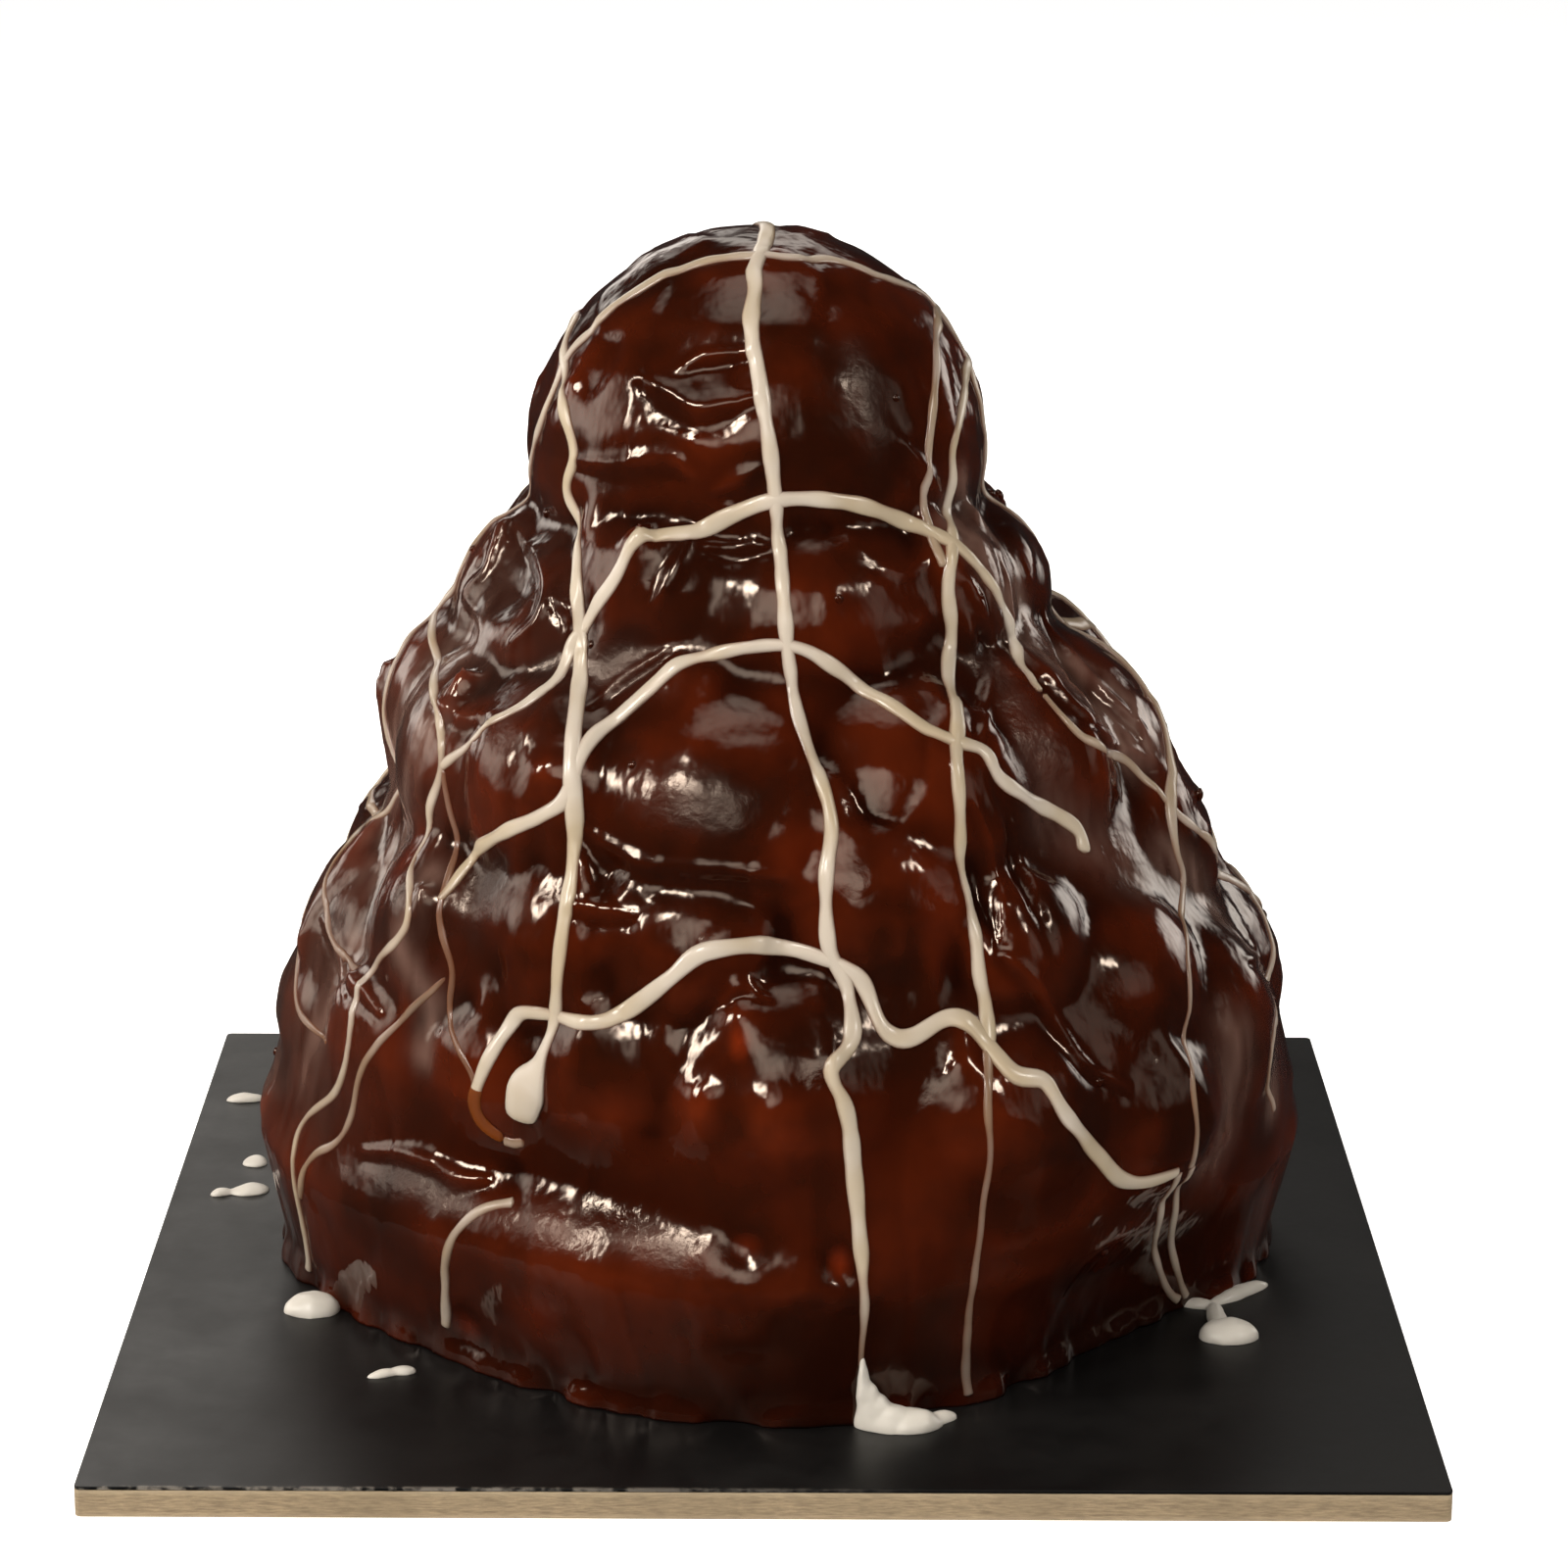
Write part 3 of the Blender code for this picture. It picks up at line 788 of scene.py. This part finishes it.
# Fine ripples 1 to 2 mm across, strongest in patches where sugar has bloomed.
grain = add_node(tree, "ShaderNodeTexNoise", {"Scale": 480, "Detail": 3, "Vector": place})
bloom = add_node(tree, "ShaderNodeTexNoise", {"Scale": 55, "Vector": place})
bloomed = add_node(
    tree,
    "ShaderNodeMapRange",
    {"From Min": 0.6, "From Max": 0.7, "To Min": 0.02, "To Max": 0.5, "Value": bloom},
)
rippled = add_node(tree, "ShaderNodeMath", {"operation": "ADD", 0: bloomed, 1: bloom_read})
speckle = add_node(tree, "ShaderNodeMath", {"operation": "MULTIPLY", 0: grain, 1: rippled})
skin_bump = add_node(tree, "ShaderNodeBump", {"Strength": 0.7, "Distance": 0.42 * MM, "Height": speckle})
# Under them the skin is never quite even, in waves 5 mm across that are drawn out downwards.
drawn = add_node(tree, "ShaderNodeMapping", {"Scale": (1, 1, 0.6), "Vector": place})
waves = add_node(tree, "ShaderNodeTexNoise", {"Scale": 190, "Vector": drawn})
wave_bump = add_node(tree, "ShaderNodeBump", {"Distance": 0.32 * MM, "Height": waves, "Normal": skin_bump})
set_up(shader, {"Base Color": smear_sheen_mix, "Roughness": dulled, "Normal": wave_bump})
heap.data.materials.append(glaze)

# Small droplets, of the same glaze, stand on the skin, as (azimuth, height, half width).
heap_skin = skin_of(heap)
only()
bpy.ops.mesh.primitive_ico_sphere_add(subdivisions=2, radius=1)
plain_bead = bpy.context.object
beads = []
SMALL_DROPLETS = 26
between = random.Random(17).uniform
spots = [(17, 159, 1.3), (-7, 104, 1.4)]
for _ in range(SMALL_DROPLETS):
    spots.append((between(-180, 180), between(20, 195), between(0.6, 1.1)))
for azimuth, height, size in spots:
    point, out = on_skin(heap_skin, azimuth, height * MM)
    way = out.to_track_quat("Z", "Y").to_euler()
    beads.append(ball(point, (size * MM, size * MM, size * MM * 0.6), way, plain_bead))
bpy.data.objects.remove(plain_bead)
droplets = joined("glaze_droplets", beads)
bpy.ops.object.shade_smooth()
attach(droplets, "root")
droplets.data.materials.append(glaze)

# --------------------
# The trailed strokes: melted white chocolate, run from a bag from front to back and from side to side
# while the glaze was wet. Each stroke is a low round bead about 4 mm wide, thin and caramel-coloured
# where it was dragged out, and round where it stopped.

# Each stroke: how milky it is, below 0 for caramel, and the places it passes, given as the lips' are.
STROKES = (
    # From back to front over the crown, and down the front.
    (1, ((94.2, 199, 2.6), (93.9, 205, 2.8), (101, 211), (-110, 215, 3.4), (-96, 202), (-92, 191, 3.2),
        (-88, 170), (-85, 136, 2.7), (-81, 119), (-82, 109, 3), (-82, 95), (-80, 89), (-80, 80, 3.2),
        (-83, 76), (-82, 72), (-81, 67, 3.4), (-80, 48, 3.2), (-79.4, 30, 1.8), (-79.5, 22, 1.2),
        (-79.4, 17, 1.4))),
    (1, ((148, 187, 3), (154, 192.7, 3), (177, 197), (-164, 192), (-151, 185), (-143, 176),
        (-145, 168, 2.8), (-134, 156), (-126, 138, 3.2), (-120, 126), (-118, 112, 3.3), (-117, 98),
        (-117, 84, 2.8), (-118, 75, 2.6), (-119, 70, 4.2), (-120.5, 65, 7.6), (-121.5, 60, 8),
        (-122, 57, 6.5))),
    (0.7, ((27, 186, 3), (24.3, 192, 3), (14, 197), (1, 199), (-26, 195), (-43, 180, 2.2), (-48, 166, 2),
        (-49, 156, 2.4))),
    (1, ((31, 121, 2.8), (27.3, 126.5, 2.8), (28, 147), (25, 168), (17, 186), (-2, 189, 3),
        (-32, 179, 2.6), (-36, 168), (-49, 154, 3), (-50, 143), (-59, 132, 3.2), (-62, 124),
        (-63, 105, 2.8), (-63, 83), (-64, 76, 3))),
    (0.5, ((-64, 77, 2.6), (-66, 67, 1.7), (-66, 57, 1.4), (-67, 32, 1.6), (-66, 7, 2.6))),
    (0.7, ((34.4, 116.3, 2.6), (25, 126), (14, 132), (6, 134, 3), (-5, 122, 3), (-11, 112),
        (-17, 106, 3.6), (-20, 98, 2.2), (-20, 91), (-32, 83, 1.7), (-35, 72), (-39, 62, 1.5), (-39, 52),
        (-38, 44.5, 1.8))),
    (1, ((-38, 46, 2.2), (-33, 30), (-26, 12, 1.8), (-24.3, 7.6, 2.4))),
    (1, ((-40.5, 46, 2.2), (-35.5, 29), (-28.4, 12, 1.8), (-25.3, 7.6, 2.4))),
    (0.8, ((46.6, 76.8, 2.6), (30, 84), (16, 87), (4, 84, 2.4), (-2, 74), (-6, 68), (-18, 62), (-20, 56),
        (-15, 43, 2))),
    (0.9, ((164, 137, 2.4), (173.3, 140.4, 2.4), (-179, 138), (-151, 129), (-145, 119, 2.2), (-147, 109),
        (-147, 100), (-142, 92), (-144, 86, 2), (-151, 76), (-150, 62), (-154, 52, 2), (-160, 44),
        (-161, 39), (-160, 33, 1.9), (-161, 23), (-163, 8, 2.7))),
    (0.25, ((-145, 119, 1.6), (-141, 103), (-138, 92), (-135, 83), (-135, 74, 1.5), (-128, 65), (-128, 56),
        (-125, 53, 1.2))),
    (0.6, ((162, 94.3, 2.4), (-177, 93), (-172, 88), (-163, 78), (-154, 76, 1.6))),
    (0.5, ((148.6, 68.8, 2.6), (160, 77), (171, 82), (180, 84, 1.8), (-174, 76), (-166, 62),
        (-157, 60, 1.4))),
    (0.6, ((-135.5, 82, 0.6), (-138, 78, 1.5), (-141, 73), (-147, 60, 1.8), (-152, 43), (-156, 38),
        (-160, 26, 2))),
    # From side to side, from the top down.
    (0.8, ((-176, 93, 2), (-170, 101), (-168, 108, 2.4), (-174, 118), (-177, 130), (-180, 139),
        (-176, 147), (-179, 156), (-173, 167), (-163, 180, 2.6), (-161, 193), (-153, 201),
        (-129, 211, 2.8), (-76, 212), (-46, 211, 2.8), (-22, 207), (2, 200), (-2, 190), (-4, 171),
        (-3, 165), (3, 157), (7, 146), (5, 134, 2.4))),
    (1, ((-145.5, 117.8, 1.6), (-143.5, 120.5, 2.4), (-132, 133), (-129, 145, 3), (-122, 156), (-117, 165),
        (-107, 165, 3.6), (-90, 171, 3), (-70, 170), (-54, 165, 3.2), (-45, 161), (-40, 156, 2.8),
        (-33, 142, 2.6), (-37, 137), (-37, 132, 2))),
    (0.8, ((-37, 133, 2), (-36, 127), (-32, 122), (-20, 115), (-17, 105, 2.2), (-14, 100), (-3, 85),
        (3, 77), (12.7, 63.9, 2.6))),
    (1, ((-139, 94.5, 1.4), (-138.3, 98, 2.4), (-137, 104), (-130, 110, 3), (-120, 118), (-119, 125),
        (-118, 130), (-110, 139, 3.2), (-104, 143), (-86, 146, 2.6), (-75, 140), (-65, 132, 3.2),
        (-60, 129), (-56, 127), (-54, 121, 3.2), (-42, 111), (-39, 107), (-40, 103, 3.4))),
    (1, ((-128, 61, 2.8), (-125, 74, 3.2), (-122, 79, 3), (-112, 80), (-108, 82), (-101, 91, 3.2),
        (-98, 95), (-89, 95), (-79, 91, 3.4), (-76, 81), (-73, 79), (-68, 82), (-65, 80, 3.6), (-62, 72),
        (-59, 71), (-57, 64, 3.4), (-52, 54), (-47, 46, 3.2), (-40, 46, 3))),
    (-1, ((-127, 65, 2.4), (-128, 61, 3), (-128, 57, 3.8), (-126, 54, 3.6), (-124, 53, 2.4))),
    (0.5, ((-125.5, 53.4, 2.6), (-123, 52.6, 2.2), (-121, 54.5, 1.8))),
    (0.8, ((-121, 43, 3), (-125, 41), (-128, 37, 2), (-131, 28), (-134, 11, 2.4))),
)
# A bead is half as high as its half width, less what it has sunk in, and is milky from MILKY_AT up.
BEAD_POINTS = 9
BEAD_RISE = 0.5
BEAD_SUNK = 0.12 * MM
BEAD_ROOT = 0.5 * MM
BEAD_TIP = 0.05 * MM
MILKY_AT = 0.5 * MM
UNEVEN = 0.3
UNEVEN_EVERY = 6 * MM
verts, faces, milk = [], [], []


def averaged(values, reach):
    """Each value averaged with its neighbours up to reach away."""
    last = len(values) - 1
    out = []
    for i in range(len(values)):
        near = values[max(i - reach, 0) : min(i + reach, last) + 1]
        out.append(sum(near[1:], near[0].copy()) / len(near))
    return out


def lay_bead(passes, seed, milky=1):
    """Lays one bead along the skin: a low half-round with rounded ends, thin where it meets the skin."""
    route = smooth_route(passes)
    found = [heap_skin.find_nearest(place.to_3d()) for place in route]
    outs = averaged([one[1] for one in found], 4)
    line = averaged([one[0] for one in found], 2)
    last = len(line) - 1
    first_vert = len(verts)
    for i, (point, out) in enumerate(zip(line, outs)):
        along = (line[min(i + 1, last)] - line[max(i - 1, 0)]).normalized()
        across = out.cross(along).normalized()
        uneven = noise.noise(Vector((i * ROUTE_STEP / UNEVEN_EVERY, seed, 0)))
        half = route[i].w / 2 * (1 + UNEVEN * uneven)
        to_end = min(i, last - i) * ROUTE_STEP
        if to_end < half:
            half *= math.sqrt(1 - (1 - (to_end + BEAD_TIP) / (half + BEAD_TIP)) ** 2)
        for j in range(BEAD_POINTS):
            turn = math.pi * j / (BEAD_POINTS - 1)
            over = half * BEAD_RISE * math.sin(turn) - BEAD_SUNK
            foot = heap_skin.find_nearest(point + across * half * math.cos(turn))[0]
            verts.append(foot + out * over)
            milk.append(rise(over, 0, MILKY_AT) * milky)
        verts.append(point - out * BEAD_ROOT)
        milk.append(0)
    ring = BEAD_POINTS + 1
    for i in range(last):
        for j in range(ring):
            a, b = first_vert + i * ring + j, first_vert + i * ring + (j + 1) % ring
            faces.append((a, b, b + ring, a + ring))
    faces.append(tuple(first_vert + j for j in reversed(range(ring))))
    faces.append(tuple(first_vert + last * ring + j for j in range(ring)))


for number, (milky, passes) in enumerate(STROKES):
    lay_bead(laid_out(heap_skin, passes), number * 7.3, milky)

# Behind, the strokes go on down the heap's back, each given by its x in millimetres, and over it from
# side to side, each given by its y.
BACK_STROKES = (-62, -36, -4, 34, 66)
BACK_ARCS = (24, 48, 70)
between = random.Random(8).uniform
for x in BACK_STROKES:
    height = 205 if abs(x) < 40 else 150
    laid, width = [], between(2.6, 3.4) * MM
    while height > 24:
        start = Vector(((x + between(-2.5, 2.5)) * MM, OUTSIDE, height * MM))
        point = heap_skin.ray_cast(start, Vector((0, -1, 0)))[0]
        if point:
            laid.append(Vector((*point, width)))
        height -= between(9, 14)
    lay_bead(laid, x)
for y in BACK_ARCS:
    laid, width = [], between(2.6, 3.4) * MM
    x = -100
    while x < 100:
        start = Vector((x * MM, (y + between(-2.5, 2.5)) * MM, 400 * MM))
        point = heap_skin.ray_cast(start, Vector((0, 0, -1)))[0]
        if point and point.z > 48 * MM:
            laid.append(Vector((*point, width)))
        x += between(7, 11)
    lay_bead(laid, y)

mesh = bpy.data.meshes.new("white_strokes")
mesh.from_pydata(verts, [], faces)
strokes = bpy.data.objects.new("white_strokes", mesh)
bpy.context.scene.collection.objects.link(strokes)
mark(strokes, "milk", milk)
reshape(strokes, "FACE", lambda face: True, bpy.ops.mesh.normals_make_consistent, inside=False)
bpy.ops.object.shade_smooth()
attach(strokes, "root")

# White chocolate: cocoa butter, milk and sugar, melted and set. It is ivory and softly glossy where it
# lies deep, and lets the brown through where it is thin.
white, tree, shader, place = new_material("white_chocolate", {"Roughness": 0.24, "IOR": 1.46})
milk_read = add_node(tree, "ShaderNodeAttribute", {"attribute_name": "milk"}).outputs["Fac"]
runs = add_node(tree, "ShaderNodeTexNoise", {"Scale": 60, "Vector": place})
thick = add_node(tree, "ShaderNodeMapRange", {"From Min": 0.35, "From Max": 0.6, "Value": runs})
cream = add_node(
    tree, "ShaderNodeMix", {"data_type": "RGBA", 0: thick, 6: linear("A4957D"), 7: linear("B3A89A")}
)
ivory = add_node(tree, "ShaderNodeMix", {"data_type": "RGBA", 0: milk_read, 6: linear("552A12"), 7: cream})
toasted = add_node(tree, "ShaderNodeMapRange", {"From Max": -0.4, "Value": milk_read})
caramel = add_node(tree, "ShaderNodeMix", {"data_type": "RGBA", 0: toasted, 6: ivory, 7: linear("64300C")})
set_up(shader, {"Base Color": caramel})
strokes.data.materials.append(white)

# --------------------
# White chocolate set on the board: what ran off the heap has spread in low domes and splashes, whiter
# than the strokes because it lies thick on the cold board.

# Each: its node, and its domes as (x, y, half length, half width, height, turn in degrees), in
# millimetres.
SET_WHITE = (
    ("pool_front", ((18.2, -96.4, 1.1, 1.9, 15.5, 0), (18.7, -96.3, 1.8, 2.2, 12, 0),
        (19.6, -96.3, 2.7, 2.6, 8.8, 0), (21, -96.3, 3.8, 3.1, 6.4, 0), (23.6, -96.8, 5, 3.7, 4.5, 0),
        (27.5, -96.6, 6, 4, 3.5, 12), (32.5, -94, 4.6, 2, 2, 35))),
    ("drop_left", ((-89.6, -41.2, 5.6, 4.7, 3.6, 0),)),
    ("drop_right", ((90.5, -53, 6, 4.6, 3.6, 0), (89, -44, 2, 7, 1.8, 0), (94.2, -31.7, 9, 2, 1.9, 42),
        (85.8, -37.4, 4, 1.8, 1.7, -12))),
    ("splash_left_high", ((-116, 80, 4.4, 2.2, 1.5, 8),)),
    ("splash_left_mid", ((-109.5, 40.3, 2.8, 2.6, 1.5, 0),)),
    ("splash_left_low", ((-109, 23.5, 4.4, 2.8, 1.6, 10), (-114.5, 22, 2.8, 1.4, 1.2, 20))),
    ("splash_front_left", ((-73, -73.6, 3.4, 1.5, 1.2, 22), (-69.3, -72, 2.8, 1.8, 1.3, 10))),
)
SET_CELL = 0.35 * MM

# Set white chocolate: thick enough to be opaque, with a waxy gloss.
set_white, tree, shader, place = new_material("set_white_chocolate", {"Roughness": 0.28, "IOR": 1.46})
mottle = add_node(tree, "ShaderNodeTexNoise", {"Scale": 160, "Detail": 3, "Vector": place})
mottled = add_node(
    tree, "ShaderNodeMix", {"data_type": "RGBA", 0: mottle, 6: linear("CDC7BC"), 7: linear("DEDAD1")}
)
set_up(shader, {"Base Color": mottled})

for node, domes in SET_WHITE:
    bodies = []
    for x, y, half_length, half_width, height, turn in domes:
        size = (half_length * MM, half_width * MM, height * MM)
        bodies.append(ball((x * MM, y * MM, facing_high.z), size, (0, 0, math.radians(turn))))
    piece = joined(node + "_chocolate", bodies)
    run_together(piece, SET_CELL, 10)
    ways = [vert.normal.copy() for vert in piece.data.vertices]
    for vert, way in zip(piece.data.vertices, ways):
        vert.co += way * 0.35 * MM * bumps(vert.co, 3 * MM)
        vert.co.z = max(vert.co.z, facing_high.z)
    bpy.ops.object.shade_smooth()
    piece.data.materials.append(set_white)
    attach(piece, "root")
    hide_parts(node)
bpy.data.objects.remove(plain_ball)

# --------------------
# The studio: a pale sweep of paper, lit from below, under and behind the cake. Two soft lights stand at
# its front left and one at its front right, two more hang over it and before it, and white cards stand
# round it, so that the glaze has something pale to mirror on every side.
only()
bpy.ops.mesh.primitive_plane_add(size=30, location=(0, 0, 0))
sweep = bpy.context.object
sweep.name = "studio_floor"
# Light from below the paper keeps it pale, as on a lit table.
paper, _, shader, _ = new_material("pale_paper", {"Base Color": linear("F4F3F1"), "Roughness": 0.9})
set_up(shader, {"Emission Color": linear("FFFFFF"), "Emission Strength": 0.9})
sweep.data.materials.append(paper)
# Black cloth hung below the lights keeps the paper out of the glaze's reflections.
sweep.visible_glossy = False

world = bpy.data.worlds.new("studio")
world.use_nodes = True
set_up(world.node_tree.nodes["Background"], {"Color": (1, 1, 1, 1), "Strength": 0.022})
bpy.context.scene.world = world

# Each light: its place, its width and height, and its power in watts.
LAMP_TINT = (1, 0.94, 0.87)
LIGHTS = (
    ("softbox_left", (-0.6, -0.75, 1.05), (0.42, 0.38), 30),
    ("window_left", (-1.1, -0.45, 0.8), (0.32, 0.6), 27),
    ("softbox_right", (0.75, -0.45, 0.8), (0.2, 0.34), 9),
    ("ceiling", (0, 0.1, 1.6), (1.5, 1.2), 13),
    ("front", (-0.25, -1.5, 1.15), (1.6, 1), 24),
    ("card_right", (1.25, -0.5, 0.6), (1, 0.9), 2.5),
    ("card_back_right", (1.1, 0.9, 0.38), (0.9, 0.7), 8),
    ("card_back_left", (-1.2, 0.85, 0.35), (0.9, 0.65), 7),
    ("card_left", (-1.25, 0.1, 0.45), (1, 0.8), 10),
    ("card_behind", (-0.5, 1.4, 0.63), (1.2, 0.6), 7),
    ("card_behind_high", (0, 1.3, 1.05), (1.4, 0.6), 6),
)
for name, spot, size, power in LIGHTS:
    bpy.ops.object.light_add(type="AREA", location=spot)
    light = bpy.context.object
    light.name = name
    lamp = light.data
    lamp.shape = "RECTANGLE"
    lamp.size, lamp.size_y = size
    lamp.energy = power
    lamp.color = LAMP_TINT
    # Each is brightest in its middle and fades out to its edges, as a diffuser does.
    lamp.use_nodes = True
    tree = lamp.node_tree
    spread = add_node(tree, "ShaderNodeNewGeometry", {}).outputs["Parametric"]
    from_middle = add_node(
        tree, "ShaderNodeVectorMath", {"operation": "DISTANCE", 0: spread, 1: (0.5, 0.5, 0)}
    )
    fading = add_node(
        tree,
        "ShaderNodeMapRange",
        {"interpolation_type": "SMOOTHSTEP", "From Min": 0.5, "From Max": 0.1, "Value": from_middle},
    )
    set_up(tree.nodes["Emission"], {"Strength": fading})
    aim = Vector((0, 0, 0.1)) - Vector(spot)
    light.rotation_euler = aim.to_track_quat("-Z", "Y").to_euler()
bpy.ops.object.camera_add(
    location=(0.0028, -0.9255, 0.3716),
    rotation=[math.radians(a) for a in (73.7995, -0.2286, 0.0379)],
)
camera = bpy.context.object
camera.name = "studio_camera"
camera.data.lens = 110.42
camera.data.sensor_width = 36
bpy.context.scene.camera = camera
bpy.context.scene.view_settings.view_transform = "Standard"
